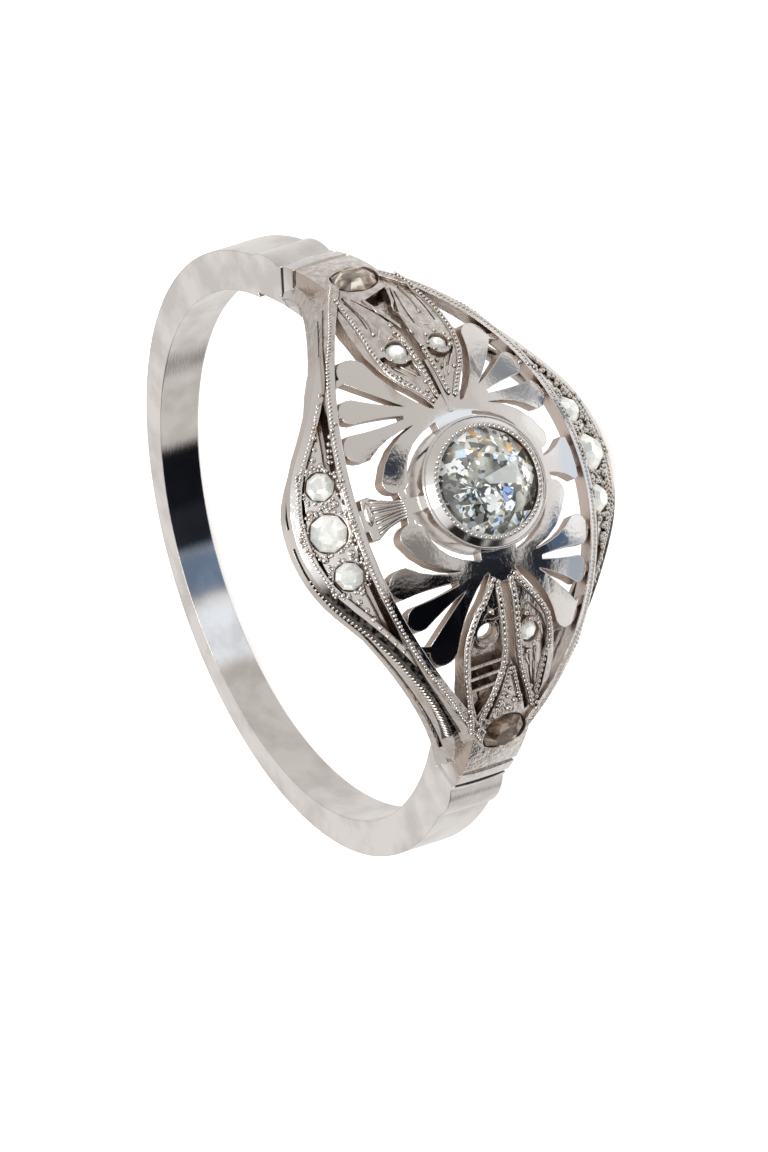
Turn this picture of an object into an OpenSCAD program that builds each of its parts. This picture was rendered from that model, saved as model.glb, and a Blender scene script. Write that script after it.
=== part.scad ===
// Pierced bombe ring with a bezel-set centre diamond, modelled upright and laid on its side

/* [Shank] */
// Inside diameter of the band
finger_d = 17; // [16.5:0.1:17.5]
// Width of the band at the back
back_w = 1.2; // [1:0.1:1.6]
// Width of the band where it meets the head
front_w = 1.9; // [1.8:0.05:2]
// Thickness of the band at the back
back_t = 0.8; // [0.7:0.05:1]
// Thickness that the band grows to under the head
front_t = 1.6; // [1.4:0.05:1.8]

/* [Head] */
// Radius of the domed top
dome_r = 8.75; // [8.65:0.05:8.9]
// Height of the dome above the finger hole
head_rise = 3.5; // [3.4:0.05:3.6]
// Width of the head over its outer rails
head_w = 11; // [10.8:0.1:11.2]
// Length of the head between the two shoulders
head_l = 15.2; // [15:0.1:15.4]
// Radius of the bulge in each outer rail
bulge_r = 4.2; // [4:0.1:4.4]
// Thickness of the pierced sheet
sheet_t = 0.5; // [0.45:0.05:0.6]
// Width of each grained rail
rail_w = 0.28; // [0.24:0.02:0.3]
// Height of the gallery wire under each outer rail
wire_h = 0.35; // [0.3:0.05:0.4]

/* [Ornament] */
// Radius of the arc that the inner rails follow
inner_rail_r = 9.8; // [9.7:0.1:9.9]
// Half of the opening between the inner rails
inner_rail_y = 3.97; // [3.93:0.01:4]
// Width of a petal where its stem starts
stem_w = 0.26; // [0.22:0.02:0.3]
// Depth of the recesses inside leaves and borders
recess_t = 0.26; // [0.2:0.02:0.3]

/* [Stones] */
// Girdle diameter of the centre stone
centre_d = 3.44; // [3.3:0.02:3.46]
// Diameter of the middle stone in each border
border_big_d = 1.2; // [1:0.05:1.25]
// Diameter of the outer stones in each border
border_small_d = 0.9; // [0.8:0.05:0.95]
// Diameter of the stones in the leaves
leaf_d = 0.58; // [0.5:0.02:0.6]
// Diameter of the smoky stones at the shoulders
end_d = 1.45; // [1.3:0.05:1.5]

/* [Hidden] */
$fn = 96;

metal_colour = [0.80, 0.78, 0.75];
diamond_colour = [0.86, 0.92, 0.95];
smoky_colour = [0.45, 0.38, 0.33];

// Room between a stone and the metal round it
stone_gap = 0.03;
// Length that reaches past any part of the ring
far = 30;

finger_r = finger_d / 2;
shank_r = finger_r + (back_t + front_t) / 2;
shank_shift = (front_t - back_t) / 2;
shank_back = shank_r - shank_shift;
dome_z = finger_r + head_rise - dome_r;
dome_top = dome_z + dome_r;
// Height at which the tapering band reaches its full width
flare_z = 5.85;
// Fullness of each shoulder: [x and z of its centre, radius]
shoulder_swell = [[7.2, 3.9], 1.87];

// Each dome as [radius, height of its centre]: the main one, and a tighter
// one that the outer rails and the borders follow
MAIN = [dome_r, dome_z];
SIDE = [7.92, dome_z + 0.95];

// Outer rail: a bulge with a straight run to each shoulder
end_x = head_l / 2;
end_y = front_w / 2 + 0.04;
bulge_y = head_w / 2 - bulge_r;
run_angle = atan2(end_x, end_y - bulge_y)
    - acos(bulge_r / norm([end_x, end_y - bulge_y]));
rail_rise = 0.1;
rail_t = 0.3;
rim_t = sheet_t + 0.15;
// How far the inner rails and the solid ends stay inside the outer rails' edge
rail_tuck = 0.05;

// Gallery wire: level under the bulge, then an arc down to each shoulder
wire_z = finger_r + 0.65;
wire_arc_r = 8.27;
wire_arc_z = 1.6;
wire_w = 0.4;
wire_arc_w = 0.23;
// Slots between wires and rails: height, and where each starts and ends
slot_h = 0.17;
SLOTS = [[-7.1, -0.1], [0.5, 7.1]];
// Distance that wires and walls tuck in under the rails at the first shoulder
wire_tuck = 0.45;
// Where that tuck starts, and the length over which it grows
tuck_from = 1;
tuck_run = 2;
// Side view of the open space under the head, from one shoulder to the other
HEAD_SPACE = [[7.96, 3.4], [7.74, 3.9], [7.33, 4.82], [6.65, 6], [6.65, far], [-6.6, far],
    [-6.6, 6.1], [-6.95, 4.9], [-6, 3.4]];

// Angle at which the ring leans when it lies on its side
lean = atan((head_w - back_w) / 2 / (wire_z + shank_back));

// Bezel: heights above the finger axis
bezel_r = 2.05;
bezel_rim_z = finger_r + 3.81;
bezel_lip_z = bezel_rim_z + 0.29;
bezel_foot_z = finger_r + 2.3;
bezel_edge_w = 0.24;
bezel_foot_in = 0.1;
bezel_foot_rise = 0.3;
lip_cover = 0.06;
collet_r = 1.45;
girdle_z = bezel_rim_z - 0.06;
girdle_t = 0.1;
// Height of the slope that carries the centre stone
seat_slope = 0.45;

// Side stones: how deep a pocket is cut, how deep the girdles of the diamonds and
// of the smoky stones sit in it, and the part of a stone's width that is drilled
pocket_t = 0.32;
sink = 0.16;
smoky_sink = 0.05;
drill_share = 0.62;
// Shape of a side stone as parts of its width: table, crown height, tip
table_share = 0.55;
crown_share = 0.24;
smoky_crown_share = 0.2;
tip_share = 0.1;
side_girdle_t = 0.04;
side_pavilion = 0.14;

// Grooves across the shoulders: [angle from the top, length down the sides]
GROOVES = [[51.8, 0.8], [56.2, 1.2]];
groove_w = 0.28;
// How far the middle of a groove lies off the surface, above and beside the shoulder
groove_lift = 0.07;
groove_out = 0.1;

// Places on the dome as [along the shoulders, across the finger]
border_big_at = [0, 4.72];
border_small_at = [1.45, 4.5];
end_stone_at = [7.25, 0];

// Seats in the leaves: [x, y, where the leaf's bed ends, its depth, bars across it,
// the stone's width in parts of leaf_d, the part of that width that is drilled];
// the last seat is empty, as its stone is lost
LEAF_SEATS = [
    [4.69, 0.58, 4.6, 0.14, 0, 1.2, drill_share],
    [4.6, -0.85, 4.5, 0.14, 0, 1, drill_share],
    [-4.69, -0.72, 6.7, 0.12, 0, 1.1, drill_share],
    [-4.34, 0.78, 6.7, recess_t, 4, 1, 1]
];
// Width of the plain metal that stays round a seat
seat_collar = 0.12;

// Petals of a quarter: [root, bend, middle of the head, radius of the head,
// how late the petal swells, where its neck meets the rail]
PETALS = [
    [[2.6, 0.7], [3.35, 1.6], [4.4, 2.16], 0.47, 2, [4.15, 3.1]],
    [[2.7, 1], [3, 1.95], [3.28, 2.78], 0.4, 1.8, [3.45, 3.6]],
    [[2.5, 0.9], [2.45, 2.1], [2.17, 3.06], 0.47, 2.8, [2.15, 3.85]],
    [[2.32, 0.75], [2.05, 2.15], [0.88, 2.5], 0.39, 1.2, [0.1, 2.4]]
];
neck_w = 0.2;
// Straight pieces in each side of a petal, and the step round its head in degrees
petal_steps = 5;
head_step = 20;

// Half of the trumpet between the bezel and an inner rail, from root to neck
TRUMPET = [[0.24, 1.85], [0.24, 2.35], [0.31, 2.75], [0.44, 3.1],
    [0.68, 3.45], [0.64, 3.64], [0.34, 3.68], [0.34, 4]];

// Outline of one leaf, and of the recessed bed inside it
LEAF = [[2.6, 0.12], [5.2, 0.12], [5.9, 0.34], [6.5, 0.64], [7.2, 1.02], [7.1, 1.3],
    [6.4, 1.44], [5.6, 1.6], [4.75, 1.6], [4.15, 1.42], [3.62, 1.12], [3.33, 0.86],
    [3, 0.62], [2.62, 0.42]];
LEAF_BED = [[3.7, 0.34], [5.2, 0.32], [5.75, 0.5], [6.3, 0.8], [6.6, 1.06],
    [6.3, 1.2], [5.6, 1.36], [4.75, 1.36], [4.25, 1.16], [3.8, 0.74]];
// Bars left standing across a leaf's bed: [x at the split, x at the edge]
LEAF_BARS = [[3.95, 4.3], [5.2, 5.25], [5.5, 5.6], [5.8, 5.95]];
leaf_bar_w = 0.09;
// Half of the plate that joins the petals of a fan beside the bezel
JUNCTION = [[1.7, 0], [3, 0], [2.98, 0.3], [2.62, 0.48], [2.8, 0.85], [2.88, 1.44],
    [2.62, 1.5], [2.4, 1.42], [2.18, 1.1], [2.2, 0.64], [1.7, 0.6]];
// Half of the plate that carries a shoulder stone, and of the triangle before it
END_PLATE = [[5.3, 0], [6, 0.3], [6.6, 0.66], [7.2, 1.1], [end_x, 1.1], [end_x, 0]];
// A quarter of the raised strip that holds a border's stones, with its tail
STRIP = [[0, 4], [1.6, 4.15], [2.14, 4.1], [2.58, 3.97], [3.2, 3.8], [3.7, 3.55],
    [4.72, 2.8], [4.8, 2.88], [4.25, 3.34], [3.7, 3.71], [3.24, 4.03], [2.42, 4.46],
    [1.69, 4.73], [1.19, 4.94], [0.7, 5.02], [0, 5.25]];
strip_drop = 0.1;
// Overlap of a border's floor with the wall under it
floor_lap = 0.1;
// Between leaves and shoulder stone: a sunk triangle at the first shoulder, and at
// the second one a triangle left standing between two grooves
SUNK_TRIANGLE = [[5.36, -0.08], [6.72, -0.58], [6.48, 0.42]];
triangle_t = 0.3;
LEAF_GROOVE = [[-5.4, 0.1], [-6.78, 0.7]];
leaf_groove_w = 0.12;
leaf_groove_t = 0.2;
// Ridge between the first two leaves, on a sunk strip that closes their split
RIDGE = [[2.4, 0], [4.15, -0.06]];
ridge_w = 0.12;
ridge_rise = 0.05;
ridge_t = 0.3;
ridge_strip_w = 0.32;
ridge_strip_drop = 0.12;
ridge_strip_t = 0.42;

// Outline p moved inwards by d; p runs anticlockwise
function inset(p, d) = let (n = len(p)) [for (i = [0:n - 1]) let (
    before = (p[i] - p[(i + n - 1) % n]) / norm(p[i] - p[(i + n - 1) % n]),
    after = (p[(i + 1) % n] - p[i]) / norm(p[(i + 1) % n] - p[i]),
    n1 = [-before[1], before[0]],
    n2 = [-after[1], after[0]])
    p[i] + (n1 + n2) * d / (1 + n1 * n2)];

// Half of the head's outer outline, from right to left over the bulge
bulge_steps = 12;
function outline_half(side) = concat([side * [end_x, end_y]],
    [for (i = [0:bulge_steps]) let (a = run_angle * (1 - 2 * i / bulge_steps))
        side * [bulge_r * sin(a), bulge_y + bulge_r * cos(a)]],
    [side * [-end_x, end_y]]);
head_outline = concat(outline_half(1), outline_half(-1));

// Distance from the finger's axis to the dome at an angle from the top
function dome_reach(turn) = dome_z * cos(turn)
    + sqrt(dome_r * dome_r - pow(dome_z * sin(turn), 2));

// Outline of all that lies under the outer rails
lower_outline = [for (p = head_outline)
    [p[0], p[1] - sign(p[1]) * wire_tuck * min(1, max(0, (p[0] - tuck_from) / tuck_run))]];

// Unit vector from a to b, and the same turned left
function along(a, b) = (b - a) / norm(b - a);
function left(v) = [-v[1], v[0]];

// Middle line of petal p at t from 0 to 1, and a point beside it towards one side
function petal_line(p, t) = p[0] * pow(1 - t, 2) + p[1] * 2 * t * (1 - t) + p[2] * t * t;
function petal_way(p, t) = along([0, 0], (p[1] - p[0]) * (1 - t) + (p[2] - p[1]) * t);
function petal_side(p, t, side) = petal_line(p, t) + side * left(petal_way(p, t))
    * (stem_w / 2 + (p[3] - stem_w / 2) * pow(t, p[4]));

// Outline of a petal that swells from its root to a round head
function petal_outline(p) = let (way = petal_way(p, 1), last = petal_steps - 1)
    concat([for (i = [0:last]) petal_side(p, i / petal_steps, -1)],
        [for (a = [-90:head_step:90]) p[2] + p[3] * (way * cos(a) + left(way) * sin(a))],
        [for (i = [last:-1:0]) petal_side(p, i / petal_steps, 1)]);

// Outline of a plain bar of width w
function bar_outline(a, b, w) = let (side = left(along(a, b)) * w / 2)
    [a - side, b - side, b + side, a + side];

// Puts children on a dome at a place, with the surface normal upwards
module on_dome(dome, at, lift = 0) {
    turn = asin(at[0] / dome[0]);
    translate([0, 0, dome[1]])
        rotate([-asin(at[1] / dome[0] / cos(turn)), 0, 0])
            rotate([0, turn, 0])
                translate([0, 0, dome[0] + lift])
                    children();
}

// Shell of a dome above a plan shape, between two heights from its surface
module shell_over(dome, top, under) {
    intersection() {
        translate([0, 0, dome[1]])
            difference() {
                sphere(r = dome[0] + top);
                sphere(r = dome[0] + under);
            }
        linear_extrude(far) children();
    }
}

// Plan area between the two inner rails, widened by grow
module opening(grow) {
    intersection_for (side = [-1, 1])
        translate([0, side * (inner_rail_y - inner_rail_r)])
            circle(r = inner_rail_r + grow);
}

module mirrored_x() {
    for (side = [0, 1]) mirror([side, 0, 0]) children();
}

module mirrored_y() {
    for (side = [0, 1]) mirror([0, side, 0]) children();
}

// Petals, leaf and joining plates of one quarter of the plan
module quarter_plan() {
    for (p = PETALS) {
        polygon(petal_outline(p));
        polygon(bar_outline(p[2], p[5], neck_w));
    }
    polygon(LEAF);
    polygon(END_PLATE);
    polygon(JUNCTION);
}

module trumpet_plan() {
    n = len(TRUMPET);
    polygon(concat(TRUMPET, [for (i = [n - 1:-1:0]) [-TRUMPET[i][0], TRUMPET[i][1]]]));
}

module pierced_sheet() {
    shell_over(MAIN, 0, -sheet_t)
        intersection() {
            union() {
                mirrored_x() mirrored_y() quarter_plan();
                mirrored_y() trumpet_plan();
            }
            opening(0);
        }
}

module leaf_ridge() {
    shell_over(MAIN, ridge_rise, -ridge_t)
        polygon(bar_outline(RIDGE[0], RIDGE[1], ridge_w));
    shell_over(MAIN, -ridge_strip_drop, -ridge_strip_t)
        polygon(bar_outline(RIDGE[0], RIDGE[1], ridge_strip_w));
}

module inner_rails() {
    shell_over(MAIN, rail_rise, -sheet_t)
        intersection() {
            polygon(inset(head_outline, rail_tuck));
            difference() {
                opening(rail_w / 2);
                opening(-rail_w / 2);
            }
        }
}

module outer_rails() {
    shell_over(SIDE, 0, -rail_t)
        difference() {
            polygon(head_outline);
            polygon(inset(head_outline, rail_w));
        }
}

// Sunken floor between the rails, with the strip that holds the stones
module border_beds() {
    shell_over(SIDE, -recess_t, -rail_t - floor_lap)
        difference() {
            polygon(inset(head_outline, rail_w / 2));
            opening(0);
        }
    shell_over(SIDE, -rail_t, -rim_t)
        difference() {
            polygon(lower_outline);
            opening(0);
        }
    shell_over(SIDE, -strip_drop, -rim_t)
        mirrored_x() mirrored_y() polygon(STRIP);
}

// Side view of what lies inside a line that is level, then an arc
module wire_profile(level, arc_r) {
    intersection() {
        translate([0, wire_arc_z]) circle(r = arc_r);
        translate([-far, 0]) square([2 * far, level]);
    }
}

// Space inside the wires, with the slots that part them from the rails
module under_rails() {
    rotate([90, 0, 0])
        linear_extrude(far, center = true) {
            wire_profile(wire_z, wire_arc_r);
            for (slot = SLOTS)
                intersection() {
                    wire_profile(wire_z + wire_h + slot_h, wire_arc_r + wire_arc_w + slot_h);
                    translate([slot[0], 0]) square([slot[1] - slot[0], far]);
                }
        }
}

module gallery_wires() {
    intersection() {
        rotate([90, 0, 0])
            linear_extrude(far, center = true)
                difference() {
                    wire_profile(wire_z + wire_h, wire_arc_r + wire_arc_w);
                    wire_profile(wire_z, wire_arc_r);
                }
        linear_extrude(far)
            difference() {
                polygon(lower_outline);
                polygon(inset(lower_outline, wire_w));
            }
    }
}

// Space under the head, right across the ring
module head_space() {
    rotate([90, 0, 0]) linear_extrude(far, center = true) polygon(HEAD_SPACE);
}

// Band and shoulders: the band's own ring and the dome, narrowed to the back
module band() {
    half_back = back_w / 2;
    half_top = half_back + (front_w - back_w) / 2 * (dome_top + shank_back)
        / (flare_z + shank_back);
    difference() {
        intersection() {
            union() {
                rotate([90, 0, 0])
                    linear_extrude(far, center = true) {
                        translate([0, shank_shift]) circle(r = shank_r);
                        mirrored_x() translate(shoulder_swell[0]) circle(r = shoulder_swell[1]);
                    }
                translate([0, 0, dome_z]) sphere(r = dome_r);
            }
            rotate([0, 90, 0])
                linear_extrude(far, center = true)
                    polygon([[shank_back + 1, -half_back], [-dome_top, -half_top],
                        [-dome_top, half_top], [shank_back + 1, half_back]]);
        }
        head_space();
    }
}

// Solid ends of the head, between the outer rails and the band
module head_ends() {
    difference() {
        intersection() {
            translate([0, 0, SIDE[1]]) sphere(r = SIDE[0] - strip_drop);
            linear_extrude(far) polygon(inset(head_outline, rail_tuck));
        }
        head_space();
    }
}

module bezel() {
    seat_r = centre_d / 2 + stone_gap;
    rotate_extrude()
        polygon([[collet_r, bezel_foot_z], [bezel_r - bezel_foot_in, bezel_foot_z],
            [bezel_r, bezel_foot_z + bezel_foot_rise], [bezel_r, bezel_rim_z],
            [bezel_r - bezel_edge_w, bezel_lip_z], [centre_d / 2 - lip_cover, bezel_lip_z],
            [seat_r, girdle_z + girdle_t], [seat_r, girdle_z - girdle_t - stone_gap],
            [collet_r, girdle_z - seat_slope]]);
}

module seats() {
    mirrored_y() {
        on_dome(SIDE, border_big_at) seat(border_big_d);
        mirrored_x() on_dome(SIDE, border_small_at) seat(border_small_d);
    }
    for (leaf = LEAF_SEATS) on_dome(MAIN, leaf) seat(leaf_d * leaf[5], leaf[6]);
    mirrored_x() on_dome(MAIN, end_stone_at) seat(end_d);
}

// Pocket for a stone of diameter d, open through the back
module seat(d, drilled = drill_share) {
    translate([0, 0, -pocket_t]) cylinder(d = d + 2 * stone_gap, h = pocket_t + rim_t);
    translate([0, 0, -2 * rim_t]) cylinder(d = d * drilled, h = 2 * rim_t);
}

// Two grooves across each shoulder, which run on down its sides
module shoulder_grooves() {
    mirrored_x()
        for (groove = GROOVES)
            rotate([0, groove[0], 0]) {
                translate([0, 0, dome_reach(groove[0]) + groove_lift]) rotate([0, 45, 0])
                    cube([groove_w, far, groove_w], center = true);
                mirrored_y()
                    translate([0, front_w / 2 + groove_out, dome_reach(groove[0]) - groove[1] / 2])
                        rotate([0, 0, 45])
                            cube([groove_w, groove_w, groove[1]], center = true);
            }
}

module ring_mount() {
    color(metal_colour)
        place()
            difference() {
                union() {
                    pierced_sheet();
                    leaf_ridge();
                    inner_rails();
                    difference() {
                        union() {
                            outer_rails();
                            border_beds();
                            head_ends();
                        }
                        under_rails();
                    }
                    gallery_wires();
                    band();
                    bezel();
                }
                rotate([90, 0, 0]) cylinder(r = finger_r, h = far, center = true);
                cylinder(r = collet_r, h = girdle_z);
                seats();
                for (leaf = LEAF_SEATS) leaf_recess(leaf);
                triangle_recesses();
                shoulder_grooves();
            }
}

// Bed sunk into the leaf round a seat
module leaf_recess(leaf) {
    shell_over(MAIN, 1, -leaf[3])
        difference() {
            mirror([leaf[0] < 0 ? 1 : 0, 0])
                mirror([0, leaf[1] < 0 ? 1 : 0])
                    difference() {
                        intersection() {
                            polygon(LEAF_BED);
                            square([leaf[2], head_w]);
                        }
                        for (i = [0:1:leaf[4] - 1])
                            polygon(bar_outline([LEAF_BARS[i][0], 0],
                                [LEAF_BARS[i][1], head_w / 4], leaf_bar_w));
                    }
            translate([leaf[0], leaf[1]]) circle(d = leaf_d * leaf[5] + 2 * seat_collar, $fn = 32);
        }
}

module triangle_recesses() {
    shell_over(MAIN, 1, -triangle_t) polygon(SUNK_TRIANGLE);
    shell_over(MAIN, 1, -leaf_groove_t)
        mirrored_y() polygon(bar_outline(LEAF_GROOVE[0], LEAF_GROOVE[1], leaf_groove_w));
}

// Lays the upright ring on its side, resting on its bulge and its back
module place() {
    rotate([90 - lean, 0, 0]) children();
}

// Round stone with a table and eight facets above and below its girdle
module eight_cut(d, crown, tint) {
    color(tint)
        hull() {
            cylinder(d = d, h = side_girdle_t, $fn = 8, center = true);
            cylinder(d = d * table_share, h = crown, $fn = 8);
            translate([0, 0, -side_pavilion])
                cylinder(d = d * tip_share, h = side_pavilion, $fn = 8);
        }
}

// Old round cut with a high crown, a small table and an open culet
module old_round_cut(d) {
    r = d / 2;
    table_r = r * 0.5;
    crown = r * 0.36;
    star_r = r * 0.72;
    culet_r = r * 0.08;
    pavilion = r * 0.86;
    lower_r = r * 0.5;
    half = 22.5;
    star_z = crown - (star_r * cos(half) - table_r) * (crown - girdle_t / 2) / (r - table_r);
    lower_z = -pavilion + (lower_r * cos(half) - culet_r) * (pavilion - girdle_t / 2) / (r - culet_r);
    // Ring of n corners at radius q and height z, the first one at angle a
    function ring(n, q, z, a) = [for (i = [0:n - 1]) let (t = a + 360 * i / n)
        [q * cos(t), q * sin(t), z]];
    points = concat(ring(8, table_r, crown, 0), ring(8, star_r, star_z, half),
        ring(16, r, girdle_t / 2, 0), ring(16, r, -girdle_t / 2, 0),
        ring(8, lower_r, lower_z, half), ring(8, culet_r, -pavilion, 0));
    table = 0;
    star = 8;
    upper = 16;
    lower = 32;
    main = 48;
    culet = 56;
    faces = concat(
        [[for (i = [7:-1:0]) table + i]],
        [for (i = [0:7]) [table + i, table + (i + 1) % 8, star + i]],
        [for (i = [0:7]) [table + i, star + i, upper + 2 * i, star + (i + 7) % 8]],
        [for (i = [0:7]) [star + i, upper + 2 * i + 1, upper + 2 * i]],
        [for (i = [0:7]) [star + i, upper + (2 * i + 2) % 16, upper + 2 * i + 1]],
        [for (i = [0:15]) [upper + i, upper + (i + 1) % 16, lower + (i + 1) % 16, lower + i]],
        [for (i = [0:7]) [main + i, lower + 2 * i, lower + 2 * i + 1]],
        [for (i = [0:7]) [main + i, lower + 2 * i + 1, lower + (2 * i + 2) % 16]],
        [for (i = [0:7]) [culet + i, main + (i + 7) % 8, lower + 2 * i, main + i]],
        [for (i = [0:7]) [culet + (i + 1) % 8, culet + i, main + i]],
        [[for (i = [0:7]) culet + i]]);
    color(diamond_colour) polyhedron(points, faces);
}

module centre_diamond() {
    place() translate([0, 0, girdle_z]) old_round_cut(centre_d);
}

// Border stones, numbered along each side from one shoulder to the other
module border_stone(n) {
    side = n <= 3 ? 1 : -1;
    step = (n - 1) % 3 - 1;
    big = step == 0;
    at = big ? border_big_at : border_small_at;
    d = big ? border_big_d : border_small_d;
    place()
        on_dome(SIDE, [-step * at[0], side * at[1]], -sink)
            eight_cut(d, d * crown_share, diamond_colour);
}

module leaf_stone(n) {
    d = leaf_d * LEAF_SEATS[n - 1][5];
    place()
        on_dome(MAIN, LEAF_SEATS[n - 1], -sink)
            eight_cut(d, d * crown_share, diamond_colour);
}

module end_stone(n) {
    place()
        on_dome(MAIN, [(n == 1 ? 1 : -1) * end_stone_at[0], 0], -smoky_sink)
            eight_cut(end_d, end_d * smoky_crown_share, smoky_colour);
}

ring_mount();
centre_diamond();
border_stone(1);  // border_stone_1
border_stone(2);  // border_stone_2
border_stone(3);  // border_stone_3
border_stone(4);  // border_stone_4
border_stone(5);  // border_stone_5
border_stone(6);  // border_stone_6
leaf_stone(1);  // leaf_stone_1
leaf_stone(2);  // leaf_stone_2
leaf_stone(3);  // leaf_stone_3
end_stone(1);  // end_stone_1
end_stone(2);  // end_stone_2
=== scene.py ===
"""Old-cut diamond engagement ring: looks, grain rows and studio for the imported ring."""

import math
import random

import bmesh
import bpy
from bpy.props import FloatProperty, PointerProperty, StringProperty
from mathutils import Matrix, Vector
from mathutils.bvhtree import BVHTree


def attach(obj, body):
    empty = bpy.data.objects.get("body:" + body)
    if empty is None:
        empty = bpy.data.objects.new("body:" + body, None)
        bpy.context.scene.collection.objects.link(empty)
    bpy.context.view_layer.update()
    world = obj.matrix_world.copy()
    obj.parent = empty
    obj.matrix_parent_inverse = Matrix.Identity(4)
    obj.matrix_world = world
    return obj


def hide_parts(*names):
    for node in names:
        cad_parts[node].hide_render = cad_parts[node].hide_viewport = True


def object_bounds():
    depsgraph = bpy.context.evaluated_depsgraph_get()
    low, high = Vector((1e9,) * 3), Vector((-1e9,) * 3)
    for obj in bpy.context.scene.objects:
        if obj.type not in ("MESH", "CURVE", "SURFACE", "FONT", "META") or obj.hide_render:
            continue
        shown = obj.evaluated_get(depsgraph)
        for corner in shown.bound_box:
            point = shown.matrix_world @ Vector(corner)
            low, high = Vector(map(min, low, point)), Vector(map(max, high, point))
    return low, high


bl_info = {
    "name": "Pierced Engagement Ring",
    "version": (1, 0, 0),
    "blender": (4, 5, 0),
    "location": "View3D > Sidebar > Ring",
    "description": "Dresses a pierced engagement ring: metal, stones, grain rows and studio",
    "category": "Object",
}

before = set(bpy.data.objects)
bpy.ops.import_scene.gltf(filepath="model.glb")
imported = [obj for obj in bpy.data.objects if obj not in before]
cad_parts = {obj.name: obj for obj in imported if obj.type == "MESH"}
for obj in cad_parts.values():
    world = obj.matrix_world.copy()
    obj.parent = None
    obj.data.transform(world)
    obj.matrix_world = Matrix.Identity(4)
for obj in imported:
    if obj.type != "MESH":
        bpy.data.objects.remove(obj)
CAD_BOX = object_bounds()

# Sizes are in mm in an upright frame: x along the shoulders, y across the finger, z up through the
# head, from the middle of the finger hole. LAY turns it to the ring as it lies, in metres.
MM = 0.001
# The ring rests on the head's rim and the back of its band: how far the rim stands out past the band,
# and how far each lies from the finger axis
RIM_STEP, RIM_Z, BACK_Z = 4.9, 9.15, 9.3
LEAN = math.atan(RIM_STEP / (RIM_Z + BACK_Z))
LAY = Matrix.Rotation(math.radians(90) - LEAN, 4, "X") @ Matrix.Diagonal((MM, MM, MM, 1))

# Domes of the pierced sheet and of the borders with their outer rails: radius and centre's height
MAIN = (8.75, 3.25)
SIDE = (7.92, 4.2)
# Heights of the centres of the finger hole and of the band's outer curve
BAND_CENTRES = (0, 0.4)
# Outer outline: end of each side at the shoulder, and the bulge between its two straight runs
END = (7.6, 0.99)
BULGE_R = 4.2
BULGE_Y = 5.5 - BULGE_R
RUN = math.atan2(END[0], END[1] - BULGE_Y) - math.acos(BULGE_R / math.hypot(END[0], END[1] - BULGE_Y))
# Arc of the inner rails: half width at the middle, and radius. Then the width of a rail
INNER_Y, INNER_R = 3.97, 9.8
RAIL_W = 0.28
# Channel along the second shoulder, black with painted shade: its depth down the rail's side, its width on
# top
CHANNEL = (0.34, 0.17)


# Colours and nodes


def linear(code):
    """Turns an sRGB hex colour into the linear one that a shader reads."""
    parts = [int(code[i : i + 2], 16) / 255 for i in (0, 2, 4)]
    return [c / 12.92 if c <= 0.04045 else ((c + 0.055) / 1.055) ** 2.4 for c in parts] + [1.0]


def shades(*pairs):
    """Stops of a colour ramp from positions and sRGB hex colours."""
    return [(at, linear(code)) for at, code in pairs]


def add(tree, kind, settings=None, links=None, sockets=None, stops=None, **values):
    """Adds a shader node of a kind, such as Math.

    Settings are its own properties. Links are what feeds it: a socket, or a node for its first
    live output. Values go to sockets by name, sockets by number. Stops are positions and linear
    colours of a colour ramp.
    """
    node = tree.nodes.new("ShaderNode" + kind)
    for key, value in (settings or {}).items():
        setattr(node, key, value)
    for key, value in values.items():
        node.inputs[key.replace("_", " ")].default_value = value
    for key, value in (sockets or {}).items():
        node.inputs[key].default_value = value
    for key, source in (links or {}).items():
        if isinstance(source, bpy.types.Node):
            source = next(output for output in source.outputs if output.enabled)
        tree.links.new(source, node.inputs[key])
    for i, (position, colour) in enumerate(stops or ()):
        elements = node.color_ramp.elements
        element = elements[i] if i < len(elements) else elements.new(position)
        element.position = position
        element.color = colour
    return node


def new_material(name):
    material = bpy.data.materials.new(name)
    material.use_nodes = True
    material.node_tree.nodes.clear()
    return material, material.node_tree


# Places on the ring


def axes_at(point, up, heading):
    """Matrix at point whose Z is up and whose X lies along heading, in the upright frame."""
    z = up.normalized()
    x = (heading - z * heading.dot(z)).normalized()
    return Matrix.Translation(point) @ Matrix((x, z.cross(x), z)).transposed().to_4x4()


class Metal:
    """The mount's surface, for setting things down on it."""

    def __init__(self, mesh):
        bm = bmesh.new()
        bm.from_mesh(mesh)
        bm.transform(LAY.inverted())
        self.tree = BVHTree.FromBMesh(bm)
        bm.free()

    def drop(self, dome, x, y):
        """Where a line from just above the dome meets the metal, if it does, and the dome's normal."""
        up = Vector((x, y, math.sqrt(dome[0] ** 2 - x * x - y * y))).normalized()
        above, reach = 0.8, 2.2
        start = Vector((0, 0, dome[1])) + up * (dome[0] + above)
        return self.tree.ray_cast(start, -up, reach)[0], up


def walk(points, pitch):
    """Evenly spaced points and headings along a line of points."""
    found, carried = [], 0.0
    for a, b in zip(points, points[1:]):
        step = b - a
        while carried <= step.length and step.length > 0:
            found.append((a + step * (carried / step.length), step.normalized()))
            carried += pitch
        carried -= step.length
    return found


def smooth_line(corners, steps=8):
    """A rounded line through corners of the plan."""
    line = []
    last = len(corners) - 1
    for i in range(last):
        p0, p1 = corners[max(i - 1, 0)], corners[i]
        p2, p3 = corners[i + 1], corners[min(i + 2, last)]
        for k in range(steps):
            t = k / steps
            line.append([
                0.5 * (2 * p1[c] + (p2[c] - p0[c]) * t
                       + (2 * p0[c] - 5 * p1[c] + 4 * p2[c] - p3[c]) * t * t
                       + (3 * p1[c] - p0[c] - 3 * p2[c] + p3[c]) * t ** 3)
                for c in (0, 1)
            ])
    return line + [list(corners[last])]


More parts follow.
